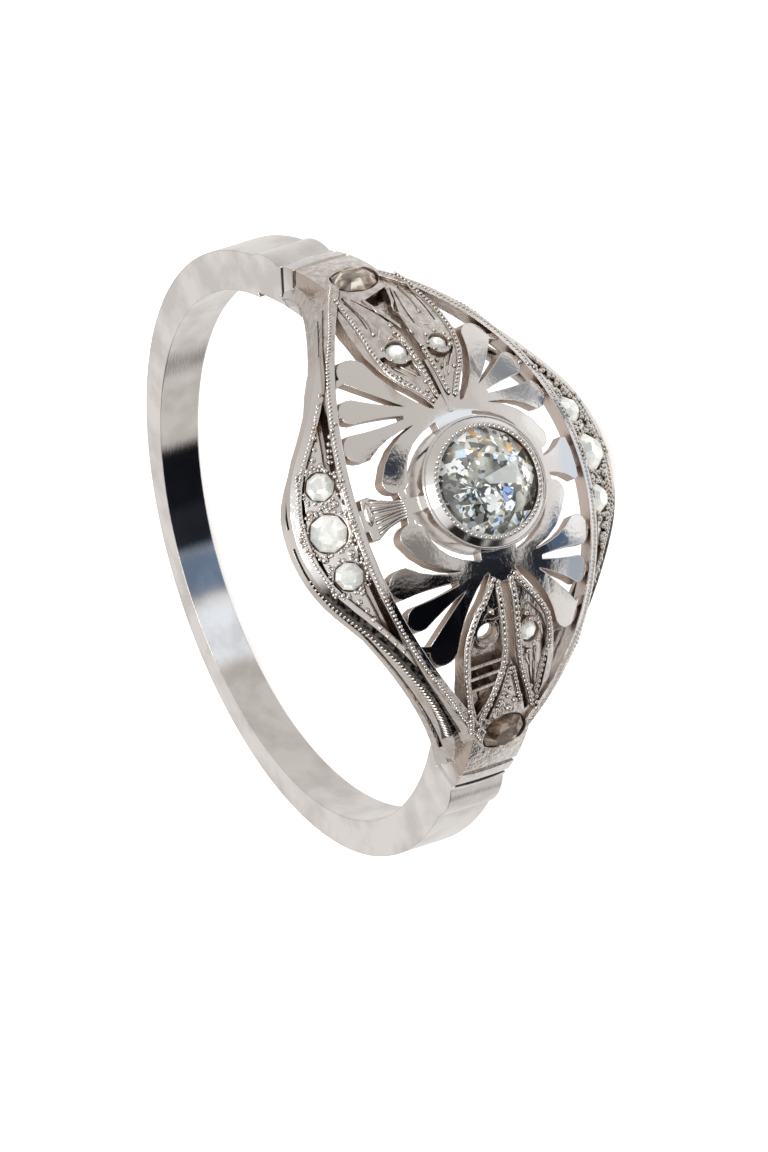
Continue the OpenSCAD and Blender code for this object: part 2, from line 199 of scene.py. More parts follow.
def mirrored(line, x, y):
    return [[p[0] * x, p[1] * y] for p in line]


def outline_y(x):
    """Half width of the head's outer outline at a place along it."""
    x = abs(x)
    start = (BULGE_R * math.sin(RUN), BULGE_Y + BULGE_R * math.cos(RUN))
    if x < start[0]:
        return BULGE_Y + math.sqrt(BULGE_R ** 2 - x * x)
    share = (x - start[0]) / (END[0] - start[0])
    return start[1] + (END[1] - start[1]) * share


def outline_slant(x):
    """Length across a strip that runs with the outline, per width of the strip."""
    step = 0.01
    return math.hypot(1, (outline_y(x + step) - outline_y(x - step)) / (2 * step))


def border_point(x, y, depth):
    """A place at a depth below the top of the borders."""
    return Vector((x, y, SIDE[1] + math.sqrt(SIDE[0] ** 2 - x * x - y * y) - depth))


# Pieces

# The mount's materials and surface, made by ring.mount for the operators after it
METAL = {}


def ring_piece(name, mesh, material, slot):
    """Makes a mesh a piece that rides on the ring."""
    mesh.materials.append(material)
    piece = bpy.data.objects.new(name, mesh)
    bpy.context.scene.collection.objects.link(piece)
    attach(piece, "root")
    return piece


def finish_piece(name, bm, material):
    """Turns a bmesh in the upright frame into a smooth piece of the mount."""
    bm.transform(LAY)
    bmesh.ops.recalc_face_normals(bm, faces=bm.faces)
    for face in bm.faces:
        face.smooth = True
    mesh = bpy.data.meshes.new(name)
    bm.to_mesh(mesh)
    bm.free()
    ring_piece(name, mesh, METAL[material], "white_gold")


def merged_copy(node, name, material, slot):
    """A copy of a CAD node with its corners joined, which stands for the node."""
    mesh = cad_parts[node].data.copy()
    mesh.name = name
    bm = bmesh.new()
    bm.from_mesh(mesh)
    bmesh.ops.remove_doubles(bm, verts=bm.verts, dist=0.5e-6)
    # A value from 0 to 1 for each facet, told apart by the way it faces
    facet = bm.faces.layers.float.new("facet")
    for face in bm.faces:
        face.normal_update()
        face[facet] = sum(round(way * 40) * share
                          for way, share in zip(face.normal, (0.618, 0.414, 0.732))) % 1
    bm.to_mesh(mesh)
    bm.free()
    for attribute in [a.name for a in mesh.attributes if "normal" in a.name.lower()]:
        mesh.attributes.remove(mesh.attributes[attribute])
    mesh.materials.clear()
    piece = ring_piece(name, mesh, material, slot)
    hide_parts(node)
    return piece


def bead(bm, place, length, width, height):
    """One grain: a low ball, stretched and set on a surface."""
    bmesh.ops.create_uvsphere(
        bm, u_segments=8, v_segments=4, radius=1.0,
        matrix=place @ Matrix.Diagonal((length / 2, width / 2, height / 2, 1)),
    )


def wire(bm, places, width, height):
    """A wire swept through places, half sunk, with its ends closed."""
    section = Matrix(((0, 0, 1, 0), (0, width / 2, 0, 0), (height / 2, 0, 0, 0), (0, 0, 0, 1)))
    ring = bmesh.ops.create_circle(bm, segments=8, radius=1.0, matrix=places[0] @ section)["verts"]
    first = edges = ring_edges(ring)
    for before, after in zip(places, places[1:]):
        made = bmesh.ops.extrude_edge_only(bm, edges=edges)["geom"]
        corners = [part for part in made if isinstance(part, bmesh.types.BMVert)]
        bmesh.ops.transform(bm, matrix=after @ before.inverted(), verts=corners)
        edges = [part for part in made if isinstance(part, bmesh.types.BMEdge)
                 and part.verts[0] in corners and part.verts[1] in corners]
    for end in (first, edges):
        bmesh.ops.contextual_create(bm, geom=end)


def ring_edges(ring):
    """Edges of a new ring of corners, each once and in order."""
    return list(dict.fromkeys(edge for vert in ring for edge in vert.link_edges))


def places_along(dome, line, pitch):
    """Places set down on the metal along a line of the plan, with X along it and Z up."""
    points = [METAL["surface"].drop(dome, x, y)[0] for x, y in line]
    points = [point for point in points if point is not None]
    centre = Vector((0, 0, dome[1]))
    return [axes_at(point, point - centre, heading) for point, heading in walk(points, pitch)]


def rail_row(dome, line, pitch, size, bm, strip=None):
    """A row of low grains along a line of the plan, on a raised strip if one is given."""
    places = places_along(dome, line, pitch)
    dice = random.Random(len(places))
    lift = 0.0
    if strip is not None:
        wire(strip, places[:-1:2] + places[-1:], 1.7 * size, size)
        lift = 0.07
    for place in places:
        worn = dice.uniform(0.75, 1.1)
        bead(bm, place @ Matrix.Translation((0, dice.uniform(-0.012, 0.012), lift)), pitch * 0.9,
             size * 1.3 * worn, size * 0.9 * worn)


# Materials

BLACK, WHITE = (0, 0, 0, 1), (1, 1, 1, 1)
# Sums and other settings that many nodes share
TIMES, TIMES_PLUS, PLUS, MINUS, ABOVE, SIZE, DOT, LENGTH, UNIT = ({"operation": name} for name in (
    "MULTIPLY", "MULTIPLY_ADD", "ADD", "SUBTRACT", "GREATER_THAN", "ABSOLUTE", "DOT_PRODUCT", "LENGTH",
    "NORMALIZE"))
SOFT_STEP = {"interpolation_type": "SMOOTHSTEP"}
COLOURS = {"data_type": "RGBA"}
TINTED = {"data_type": "RGBA", "blend_type": "MULTIPLY"}
EVEN = (1.0, 1.0, 1.0)
# Turn of the lying ring back to the upright frame
STAND = (LEAN - math.radians(90), 0, 0)


def upright(tree):
    """Object coordinates turned to the upright frame, in mm."""
    place = add(tree, "TexCoord").outputs["Object"]
    return add(tree, "Mapping", links={"Vector": place},
               Rotation=STAND, Scale=(1 / MM,) * 3)


def lumps(tree, place, size_mm, detail=2.0, stretch=EVEN):
    """Noise whose lumps are size_mm across, longer where stretch is below one."""
    turned = add(tree, "Mapping", links={"Vector": place}, Rotation=(0.4, 0.9, 0.3), Scale=stretch)
    return add(tree, "TexNoise", links={"Vector": turned}, Scale=1 / size_mm, Detail=detail)


def worked_parts(tree, place):
    """Masks of the head, filed and pierced by hand, and of the head without its bezel.

    The band and the bezel were turned, so they are truer.
    """
    height = add(tree, "SeparateXYZ", links={"Vector": place}).outputs["Z"]
    head = add(tree, "MapRange", SOFT_STEP, {"Value": height}, From_Min=5.4, From_Max=6.6)
    plan = add(tree, "VectorMath", TIMES, {0: place}, {1: (1, 1, 0)})
    reach = add(tree, "VectorMath", LENGTH, {0: plan})
    clear = add(tree, "MapRange", SOFT_STEP, {"Value": reach}, From_Min=2.07, From_Max=2.4)
    return head, add(tree, "Math", TIMES, {0: head, 1: clear})


def sawn_walls(tree, place, worked):
    """Mask of the walls that the saw left, which stand across the dome."""
    up = add(tree, "VectorMath", MINUS, {0: place}, {1: (0, 0, MAIN[1])})
    up = add(tree, "VectorMath", UNIT, {0: up})
    face = add(tree, "Mapping", {"vector_type": "NORMAL"},
               {"Vector": add(tree, "NewGeometry").outputs["Normal"]}, Rotation=STAND)
    level = add(tree, "VectorMath", DOT, {0: up, 1: face})
    level = add(tree, "Math", SIZE, {0: level})
    wall = add(tree, "MapRange", links={"Value": level}, From_Min=0.75, From_Max=0.35, To_Max=0.8)
    return add(tree, "Math", TIMES, {0: wall, 1: worked})


def worn_parts(tree, spread, head):
    """Mask of the leaves and the shoulders, from how far out a place is along and across."""
    beside = add(tree, "MapRange", SOFT_STEP, {"Value": spread["Y"]},
                 From_Min=1.35, From_Max=1.6, To_Min=1.0, To_Max=0.0)
    beyond = add(tree, "MapRange", SOFT_STEP, {"Value": spread["X"]}, From_Min=2.8, From_Max=3.6)
    shoulder = add(tree, "MapRange", SOFT_STEP, {"Value": spread["X"]}, From_Min=4.6, From_Max=5.4)
    beside = add(tree, "Math", {"operation": "MAXIMUM"}, {0: beside, 1: shoulder})
    leaf = add(tree, "Math", TIMES, {0: beside, 1: beyond})
    return add(tree, "Math", TIMES, {0: leaf, 1: head})


def painted_channel_shade(tree, place, spread, head):
    """Mask of the channel along the second shoulder, over the outer rail's top and its side, where black
    painted shade stands for the groove's shadow.
    """
    rail = add(tree, "VectorMath", {"operation": "DISTANCE"}, {0: place}, {1: (0, 0, SIDE[1])})
    spare = 0.05
    groove_shade = add(tree, "Math", {"operation": "COMPARE"}, {0: rail},
                {1: SIDE[0] - CHANNEL[0] / 2 + spare, 2: CHANNEL[0] / 2 + spare})
    # A ramp holds the outline, as half widths of up to 6 mm over a run of 8 mm
    run, steps, widest = 8.0, 16, 6.0
    share = add(tree, "Math", {"operation": "DIVIDE"}, {0: spread["X"]}, {1: run})
    edge = add(tree, "ValToRGB", links={"Fac": share},
               stops=[(i / steps, (outline_y(i / steps * run) / widest,) * 3 + (1,))
                      for i in range(steps + 1)])
    edge = add(tree, "Math", TIMES_PLUS, {0: edge}, {1: widest, 2: -CHANNEL[1]})
    outer = add(tree, "Math", ABOVE, {0: spread["Y"], 1: edge})
    along = add(tree, "SeparateXYZ", links={"Vector": place}).outputs["X"]
    second = add(tree, "MapRange", SOFT_STEP, {"Value": along}, From_Min=-1.0, From_Max=-1.8)
    before = add(tree, "Math", ABOVE, {0: along}, {1: -6.9})
    for part in (second, before, outer, head):
        groove_shade = add(tree, "Math", TIMES, {0: groove_shade, 1: part})
    return groove_shade


def polished_gold(settings):
    """White gold, pierced and polished by hand: mirror flats, with warm dirt and painted shade in hollows.
    """
    material, tree = new_material("polished_white_gold")
    place = upright(tree)
    head, worked = worked_parts(tree, place)
    wall = sawn_walls(tree, place, worked)
    spread = add(tree, "VectorMath", SIZE, {0: place})
    spread = add(tree, "SeparateXYZ", links={"Vector": spread}).outputs
    leaf = worn_parts(tree, spread, head)

    # Hollows get dirt and painted shade: warmer, darker and duller than the polished top, with a patchy edge
    hollow = add(tree, "AmbientOcclusion", {"samples": 8}, Distance=settings.hollow_dirt_shade_reach)
    patchy = add(tree, "Math", TIMES_PLUS,
                 {0: lumps(tree, place, 0.2, 3.0), 2: hollow.outputs["AO"]}, {1: 0.5})
    depth = add(tree, "ValToRGB", links={"Fac": patchy}, stops=[(0.35, BLACK), (0.95, WHITE)])
    # Leaves and shoulders are worn in streaks, and the band's polish has clouded
    streaks = add(tree, "MapRange",
                  links={"Value": lumps(tree, place, 0.22, 5.0, (0.3, 1.0, 1.0))},
                  From_Min=0.36, From_Max=0.66, To_Max=0.8)
    streaks = add(tree, "Math", TIMES, {0: streaks, 1: leaf})
    cloud = add(tree, "MapRange", links={"Value": lumps(tree, place, 1.3, 4.0)},
                From_Min=0.42, From_Max=0.62, To_Max=0.6)
    band = add(tree, "Math", MINUS, {1: head}, {0: 1.0})
    cloud = add(tree, "Math", TIMES, {0: cloud, 1: band})
    # Dark mottled tones of the channel's painted shade
    channel_shade_tones = add(tree, "ValToRGB", links={"Fac": lumps(tree, place, 0.15, 3.0)},
               stops=shades((0.42, "141313"), (0.68, "77716c")))

    # Each mark lies over those before it, from the hollows' dirt and painted shade to the channel's painted
    # shade and the clouded band
    colour = add(tree, "Mix", COLOURS, {0: depth},
                 {6: linear(settings.hollow_dirt_shade_colour), 7: linear(settings.metal_colour)})
    colour = add(tree, "Mix", COLOURS, {0: wall, 6: colour}, {7: linear(settings.wall_colour)})
    colour = add(tree, "Mix", COLOURS, {0: streaks, 6: colour}, {7: linear("c4b9af")})
    # Painted shade: the channel's groove is painted black over the rail's top and side
    channel = painted_channel_shade(tree, place, spread, head)
    colour = add(tree, "Mix", COLOURS, {0: channel, 6: colour, 7: channel_shade_tones})
    colour = add(tree, "Mix", COLOURS, {0: cloud, 6: colour}, {7: linear("c9c5c3")})
    dull = add(tree, "MapRange", links={"Value": depth}, To_Min=0.32, To_Max=0.06)
    rough = add(tree, "Math", TIMES_PLUS, {0: wall, 2: dull}, {1: 0.25})

    # Worn edges, the waves of the file, pits of wear, worn leaves, and hair scratches from cloths
    normal = add(tree, "Bevel", {"samples": 6}, Radius=settings.edge_round)
    for size, detail, stretch, deep, part in (
        (1.1, 1.0, EVEN, settings.filing_waves, worked),
        (0.13, 3.0, EVEN, 0.004 * MM, worked),
        (0.16, 4.0, (0.3, 1.0, 1.0), 0.035 * MM, leaf),
        (0.4, 3.0, (1.0, 9.0, 2.0), 0.001 * MM, None),
    ):
        relief = lumps(tree, place, size, detail, stretch)
        if part is not None:
            relief = add(tree, "Math", TIMES, {0: relief, 1: part})
        normal = add(tree, "Bump", links={"Height": relief, "Normal": normal}, Strength=1.0, Distance=deep)
    shader = add(tree, "BsdfPrincipled",
                 links={"Base Color": colour, "Roughness": rough, "Normal": normal}, Metallic=1.0)
    add(tree, "OutputMaterial", links={"Surface": shader})
    return material


def painted_cut_shade_gold():
    """Painted shade in cuts finer than the metal's own shape: dark brown lines that hardly shine."""
    material, tree = new_material("painted_shade_in_cuts")
    patch = add(tree, "ValToRGB", links={"Fac": lumps(tree, upright(tree), 0.3)},
                stops=shades((0.4, "3b302a"), (0.65, "8a7b70")))
    shader = add(tree, "BsdfPrincipled", links={"Base Color": patch}, Metallic=0.6, Roughness=0.45)
    add(tree, "OutputMaterial", links={"Surface": shader})
    return material


def grain_gold():
    """The same gold raised into grains, bright on top, with painted shade between them."""
    material, tree = new_material("white_gold_grain_painted_shade")
    # Painted shade: dark brown between grains, where the AO node finds other metal close
    hollow = add(tree, "AmbientOcclusion", {"samples": 8}, Distance=0.14 * MM)
    depth = add(tree, "ValToRGB", links={"Fac": hollow.outputs["AO"]}, stops=[(0.25, BLACK), (0.75, WHITE)])
    tips = add(tree, "ValToRGB", links={"Fac": lumps(tree, upright(tree), 0.5)},
               stops=shades((0.56, "f4f0ea"), (0.76, "f6dac4")))
    colour = add(tree, "Mix", COLOURS, {0: depth, 7: tips}, {6: linear("4f4038")})
    shader = add(tree, "BsdfPrincipled", links={"Base Color": colour}, Metallic=1.0, Roughness=0.12)
    add(tree, "OutputMaterial", links={"Surface": shader})
    return material


# Flashes of the centre stone: share of the cells, from 0 to 1, and sRGB hex
DIAMOND_WIDE = ((0.0, "1c1e20"), (0.28, "4d504e"), (0.48, "8b8d85"), (0.68, "c3c4bc"), (0.86, "f4f7f8"))
DIAMOND_FINE = ((0.0, "18191c"), (0.26, "55595a"), (0.44, "9aa09f"), (0.6, "dfe4e4"), (0.8, "b4cfe6"),
                (0.84, "7f9fd4"), (0.87, "ffffff"), (0.982, "d9a968"))
# Painted dark and light of the stone as a whole, under its flashes
DIAMOND_BROAD_LIGHT = ((0.38, "30312f"), (0.47, "67675f"), (0.57, "9c9a8c"), (0.68, "c9c9c0"))
# Where the crown makes the culet seem to lie
SEEN_CULET = (-0.1, 0.65)
# Sides of the pale patch on the table: x and y factors in the upright frame, and their limit
TABLE_SHEEN = ((1.28, 0.24, 0.214), (-0.04, -0.74, 0.748), (-1.11, 0.28, 0.145), (-0.13, 0.22, 0.04))


def facet_cells(tree, place, size_mm, seed):
    """Sharp-edged cells that change at every facet, as light does inside a cut stone."""
    facet = add(tree, "Attribute", {"attribute_name": "facet"}).outputs["Fac"]
    shift = add(tree, "Math", TIMES_PLUS, {0: facet}, {1: 40.0, 2: seed})
    cells = add(tree, "TexVoronoi", {"voronoi_dimensions": "4D"}, {"Vector": place, "W": shift},
                Scale=1 / size_mm)
    return add(tree, "SeparateColor", links={"Color": cells.outputs["Color"]}).outputs


def fan_of_shards(tree, place):
    """Places told by their way and reach from the seen culet, so that cells there fan out from it."""
    plan = add(tree, "VectorMath", MINUS, {0: place}, {1: (*SEEN_CULET, 0)})
    plan = add(tree, "VectorMath", TIMES, {0: plan}, {1: (1, 1, 0)})
    way = add(tree, "VectorMath", UNIT, {0: plan})
    reach = add(tree, "VectorMath", LENGTH, {0: plan})
    reach = add(tree, "CombineXYZ", links={"Z": reach})
    return add(tree, "VectorMath", PLUS, {0: way, 1: reach})


def table_sheen(tree, place):
    """Mask of the lit part of the table, a pale three-sided patch."""
    sheen = None
    for *across, limit in TABLE_SHEEN:
        inside = add(tree, "VectorMath", DOT, {0: place}, {1: (*across, 0)})
        inside = add(tree, "Math", {"operation": "LESS_THAN"}, {0: inside}, {1: limit})
        sheen = inside if sheen is None else add(tree, "Math", TIMES, {0: sheen, 1: inside})
    return add(tree, "Math", TIMES, {0: sheen}, {1: 0.8})


def cut_diamond():
    """Old-cut diamond: painted shards of bright, dark and coloured light that fan out from the culet, also
    given off as a painted glow.
    """
    material, tree = new_material("old_cut_diamond")
    place = upright(tree)
    large = facet_cells(tree, place, 0.5, 0.0)
    shards = facet_cells(tree, fan_of_shards(tree, place), 0.27, 7.0)
    chips = facet_cells(tree, place, 0.13, 3.0)
    # Dark lies to one side, where the stone looks away from the light
    side = add(tree, "VectorMath", DOT, {0: place}, {1: (0.035, -0.04, 0)})
    tones = []
    for source, stops in ((large["Red"], DIAMOND_WIDE), (shards["Green"], DIAMOND_FINE),
                          (chips["Green"], DIAMOND_FINE)):
        tone = add(tree, "Math", PLUS, {0: source, 1: side})
        tone = add(tree, "ValToRGB", links={"Fac": tone}, stops=shades(*stops))
        tone.color_ramp.interpolation = "CONSTANT"
        tones.append(tone)
    broad_light_and_shade_fac = add(tree, "Math", PLUS, {0: lumps(tree, place, 0.7, 3.0), 1: side})
    broad_light_and_shade = add(tree, "ValToRGB", links={"Fac": broad_light_and_shade_fac}, stops=shades(*DIAMOND_BROAD_LIGHT))
    flash = add(tree, "Mix", COLOURS, {6: broad_light_and_shade, 7: tones[0]}, {0: 0.5})
    for picker, least, tone in ((shards["Blue"], 0.5, tones[1]), (chips["Blue"], 0.84, tones[2])):
        pick = add(tree, "Math", ABOVE, {0: picker}, {1: least})
        pick = add(tree, "Math", TIMES, {0: pick}, {1: 0.85})
        flash = add(tree, "Mix", COLOURS, {0: pick, 6: flash, 7: tone})
    flash = add(tree, "Mix", COLOURS, {0: table_sheen(tree, place), 6: flash}, {7: linear("b2b4b2")})
    # Painted light: the painted flashes are also given off as a glow, though the stone is no lamp
    shader = add(tree, "BsdfPrincipled", links={"Base Color": flash, "Emission Color": flash},
                 Roughness=0.02, IOR=2.42, Emission_Strength=0.45)
    add(tree, "OutputMaterial", links={"Surface": shader})
    return material


def rose_diamond():
    """Small rose-cut stones, clouded by wear, with light painted per facet and a painted glow: they look
    pale grey more than they sparkle.
    """
    material, tree = new_material("rose_cut_diamond")
    place = upright(tree)
    # Painted light: each facet gets its own pale grey tone
    flat = add(tree, "ValToRGB", links={"Fac": facet_cells(tree, place, 0.7, 3.0)["Red"]},
               stops=shades((0.0, "c6c9c6"), (0.25, "d6d6d0"), (0.5, "e2e2dc"), (0.85, "fbfbf8")))
    flat.color_ramp.interpolation = "CONSTANT"
    cloud = add(tree, "ValToRGB", links={"Fac": lumps(tree, place, 0.18, 3.0)},
                stops=shades((0.42, "b4c8d4"), (0.55, "ffffff")))
    tint = add(tree, "Mix", TINTED, {6: flat, 7: cloud}, {0: 0.3})
    # Painted glow, though the stones are no lamp
    shader = add(tree, "BsdfPrincipled", links={"Base Color": tint, "Emission Color": tint},
                 Roughness=0.15, IOR=1.7, Emission_Strength=0.3)
    add(tree, "OutputMaterial", links={"Surface": shader})
    return material


def smoky_stone(settings):
    """Smoky brown end stones, scratched on top, mottled like the dark seat they show, with light painted per
    facet and a weak painted glow.
    """
    material, tree = new_material("smoky_stone")
    place = upright(tree)
    # Painted light: each facet gets its own tone
    flat = add(tree, "ValToRGB", links={"Fac": facet_cells(tree, place, 0.5, 5.0)["Green"]},
               stops=shades((0.0, "857a70"), (0.25, settings.smoky_colour), (0.5, "bdb5ab"),
                            (0.8, "e6e2da")))
    flat.color_ramp.interpolation = "CONSTANT"
    cloud = add(tree, "ValToRGB", links={"Fac": lumps(tree, place, 0.25, 4.0, (1.0, 0.4, 1.0))},
                stops=shades((0.4, "4f4037"), (0.5, "b39f86"), (0.6, "ffffff")))
    tint = add(tree, "Mix", TINTED, {6: flat, 7: cloud}, {0: 0.85})
    # The second stone is the browner one
    side = add(tree, "SeparateXYZ", links={"Vector": place}).outputs["X"]
    brown = add(tree, "MapRange", links={"Value": side}, From_Min=1.0, From_Max=-1.0, To_Max=0.8)
    tint = add(tree, "Mix", TINTED, {0: brown, 6: tint}, {7: linear("a08d7c")})
    # Weak painted glow, though the stones are no lamp
    shader = add(tree, "BsdfPrincipled", links={"Base Color": tint, "Emission Color": tint},
                 Roughness=0.1, IOR=1.9, Emission_Strength=0.12)
    add(tree, "OutputMaterial", links={"Surface": shader})
    return material


# Settings


class RingSettings(bpy.types.PropertyGroup):
    metal_colour: StringProperty(name="Metal colour", description="Polished white gold, as sRGB hex",
                                 default="efecea")
    # Colour of the dirt and painted shade in hollows
    hollow_dirt_shade_colour: StringProperty(name="Hollow colour", description="Metal in hollows, as sRGB hex",
                                  default="7d6758")
    wall_colour: StringProperty(name="Wall colour", description="Sawn walls, as sRGB hex",
                                default="b39a87")
    smoky_colour: StringProperty(name="Smoky colour", description="End stones, as sRGB hex",
                                 default="a1968b")
    floor_colour: StringProperty(name="Floor colour", description="Studio floor, as sRGB hex",
                                 default="f7f7f7")
    edge_round: FloatProperty(name="Edge rounding", description="Rounding of worn edges",
                              default=0.00005, unit="LENGTH", precision=6)
    filing_waves: FloatProperty(name="Filing waves", description="Depth of the waves left by the file",
                                default=0.00003, unit="LENGTH", precision=6)
    # How far the painted shade and dirt reach out of a hollow
    hollow_dirt_shade_reach: FloatProperty(name="Hollow reach", description="How far dirt reaches out of a hollow",
                                default=0.0005, unit="LENGTH", precision=6)
    rail_pitch: FloatProperty(name="Rail grain pitch", description="Spacing of grains on the rails",
                              default=0.000132, unit="LENGTH", precision=6)
    leaf_pitch: FloatProperty(name="Leaf grain pitch", description="Spacing of grains on the leaves",
                              default=0.00019, unit="LENGTH", precision=6)
    grain: FloatProperty(name="Grain size", description="Width of a grain in a row",
                         default=0.00014, unit="LENGTH", precision=6)


def settings_of(context):
    return context.scene.ring_looks


# Operators

# Cards of the light tent, as seen from the ring, in degrees: azimuth, elevation, half width,
# soft edge, and brightness as sRGB hex
PANELS = (
    (90, 19, 13, 9, "ebe8e5"),
    (222, -13, 11, 3, "15161b"),
    (215, 8, 13, 3, "0c0d12"),
    (228, 18, 17, 3, "08090d"),
    (232, -8, 14, 4, "14161c"),
    (237, -32, 9, 4, "2a2d35"),
    (250, 24, 9, 4, "8a8683"),
    (291, 21, 7, 3, "3a3f48"),
    (246, -9, 9, 3, "23262d"),
    (263, -11, 8, 4, "7688a0"),
    (287, -12, 11, 5, "f2f8ff"),
    (226, -50, 7, 3, "a9b2bc"),
    (244, -44, 6, 4, "4f627c"),
    (251, -53, 7, 3, "ffffff"),
    (289, -52, 8, 3, "ffffff"),
    (268, -60, 8, 3, "dfe9f2"),
    (298, -58, 5, 3, "4c5c74"),
    (314, -45, 8, 5, "8e9296"),
    (168, 36, 17, 3, "2b2827"),
    (168, 12, 18, 3, "1c1a1a"),
    (166, -12, 17, 3, "2d2a28"),
)
# The photograph's camera: where it stands in metres, and which way its right and its top point
CAMERA_AT = (-0.0216673, -0.549518, 0.4735477)
CAMERA_RIGHT = Vector((-0.31435, -0.61464, -0.72346))
CAMERA_UP = Vector((0.94890, -0.22584, -0.22044))
CAMERA_LENS, CAMERA_SENSOR = 736.86, 36
# Lamps: name, place and size in metres, power, and whether polished metal shows them
SOFTBOXES = (
    ("softbox_top", (0.05, 0.0, 0.7), 0.35, 1.6, True),
    ("softbox_left", (-0.6, 0.35, 0.35), 0.25, 0.7, False),
)
# Wall of the light tent from its foot to its top
TENT_WALL = ((0.0, "f4f2f0"), (0.14, "eeecea"), (0.3, "d0ccc8"), (0.75, "cac6c1"), (0.9, "d8d6d4"),
             (0.98, "ffffff"))


def tent_direction(azimuth, elevation):
    azimuth, elevation = math.radians(azimuth), math.radians(elevation)
    level = math.cos(elevation)
    return Vector((level * math.cos(azimuth), level * math.sin(azimuth), math.sin(elevation)))


def lay_floor(scene, colour):
    """Floor of pale acrylic, lit from below."""
    bm = bmesh.new()
    bmesh.ops.create_grid(bm, x_segments=8, y_segments=8, size=1.5,
                          matrix=Matrix.Translation((0, 0, CAD_BOX[0].z)))
    mesh = bpy.data.meshes.new("floor")
    bm.to_mesh(mesh)
    bm.free()
    floor = bpy.data.objects.new("floor", mesh)
    scene.collection.objects.link(floor)
    material, tree = new_material("lit_acrylic_floor")
    pale = add(tree, "BsdfPrincipled", Base_Color=linear(colour), Roughness=0.6,
               Emission_Color=linear("ffffff"), Emission_Strength=0.75)
    # The tent's own light comes through the sheet, so polished metal shows its cards from below
    through = add(tree, "BsdfTransparent")
    path = add(tree, "LightPath").outputs["Is Glossy Ray"]
    both = add(tree, "MixShader", links={0: path, 1: pale, 2: through})
    add(tree, "OutputMaterial", links={"Surface": both})
    mesh.materials.append(material)


def set_camera(scene):
    data = bpy.data.cameras.new("camera")
    data.lens = CAMERA_LENS
    data.sensor_width = CAMERA_SENSOR
    data.clip_start = 0.05
    data.clip_end = 20
    camera = bpy.data.objects.new("camera", data)
    scene.collection.objects.link(camera)
    axes = Matrix((CAMERA_RIGHT, CAMERA_UP, CAMERA_RIGHT.cross(CAMERA_UP))).transposed()
    camera.matrix_world = Matrix.Translation(CAMERA_AT) @ axes.to_4x4()
    scene.camera = camera


def pitch_tent(scene):
    """Light tent round the ring: a pale wall with grey, black and white cards."""
    world = bpy.data.worlds.new("studio")
    world.use_nodes = True
    tree = world.node_tree
    tree.nodes.clear()
    direction = add(tree, "TexCoord").outputs["Generated"]
    level = add(tree, "SeparateXYZ", links={"Vector": direction}).outputs["Z"]
    level = add(tree, "MapRange", links={"Value": level}, From_Min=-1.0, From_Max=1.0)
    seen = add(tree, "ValToRGB", links={"Fac": level}, stops=shades(*TENT_WALL))
    for azimuth, elevation, reach, softness, shade in PANELS:
        dot = add(tree, "VectorMath", DOT, {0: direction}, {1: tent_direction(azimuth, elevation)})
        edge = [math.cos(math.radians(reach + side * softness)) for side in (1, -1)]
        near = add(tree, "MapRange", SOFT_STEP, {"Value": dot}, From_Min=edge[0], From_Max=edge[1])
        seen = add(tree, "Mix", COLOURS, {0: near, 6: seen}, {7: linear(shade)})
    light = add(tree, "Background", links={"Color": seen}, Strength=1.0)
    add(tree, "OutputWorld", links={"Surface": light})
    scene.world = world


class RING_OT_stage(bpy.types.Operator):
    """Builds the floor, the soft studio light and the camera"""

    bl_idname = "ring.stage"
    bl_label = "Studio"

    def execute(self, context):
        scene = context.scene
        lay_floor(scene, settings_of(context).floor_colour)
        set_camera(scene)
        pitch_tent(scene)
        for name, place, size, power, shown in SOFTBOXES:
            lamp = bpy.data.lights.new(name, "AREA")
            lamp.energy = power
            lamp.size = size
            box = bpy.data.objects.new(name, lamp)
            scene.collection.objects.link(box)
            box.visible_glossy = shown
            box.location = place
            box.rotation_euler = (-Vector(place)).to_track_quat("-Z", "Y").to_euler()
        scene.view_settings.view_transform = "Standard"
        return {"FINISHED"}


class RING_OT_mount(bpy.types.Operator):
    """Polishes the mount: one merged copy with true curves and worn edges"""

    bl_idname = "ring.mount"
    bl_label = "Mount"

    def execute(self, context):
        METAL["polish"] = polished_gold(settings_of(context))
        METAL["grain"] = grain_gold()
        METAL["groove_shade"] = painted_cut_shade_gold()
        METAL["surface"] = Metal(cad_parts["ring_mount"].data)
        mesh = merged_copy("ring_mount", "polished_mount", METAL["polish"], "white_gold").data
        mesh.shade_smooth()
        mesh.set_sharp_from_angle(angle=math.radians(28))
        self.true_curves(mesh)
        return {"FINISHED"}

    @staticmethod
    def true_curves(mesh):
        """Gives each face on a dome, in the finger hole or on the band the true curve's normals."""
        # A face is on a curve if its corners lie equally far out, in mm, and it faces that way
        same_reach, same_way = 0.002, 0.985
        back = LAY.inverted()
        places = [back @ v.co for v in mesh.vertices]
        turn = LAY.to_3x3().normalized()
        normals = [Vector(n.vector) for n in mesh.corner_normals]
        curves = [lambda p, z=dome[1]: p - Vector((0, 0, z)) for dome in (MAIN, SIDE)]
        curves += [lambda p, z=z: Vector((p.x, 0, p.z - z)) for z in BAND_CENTRES]
        for face in mesh.polygons:
            corners = [places[i] for i in face.vertices]
            flat = turn.inverted() @ face.normal
            for outward in curves:
                rays = [outward(p) for p in corners]
                reach = [r.length for r in rays]
                way = rays[0].normalized().dot(flat)
                if max(reach) - min(reach) < same_reach and abs(way) > same_way:
                    side = 1 if way > 0 else -1
                    for loop, ray in zip(face.loop_indices, rays):
                        normals[loop] = turn @ (ray.normalized() * side)
                    break
        mesh.normals_split_custom_set(normals)


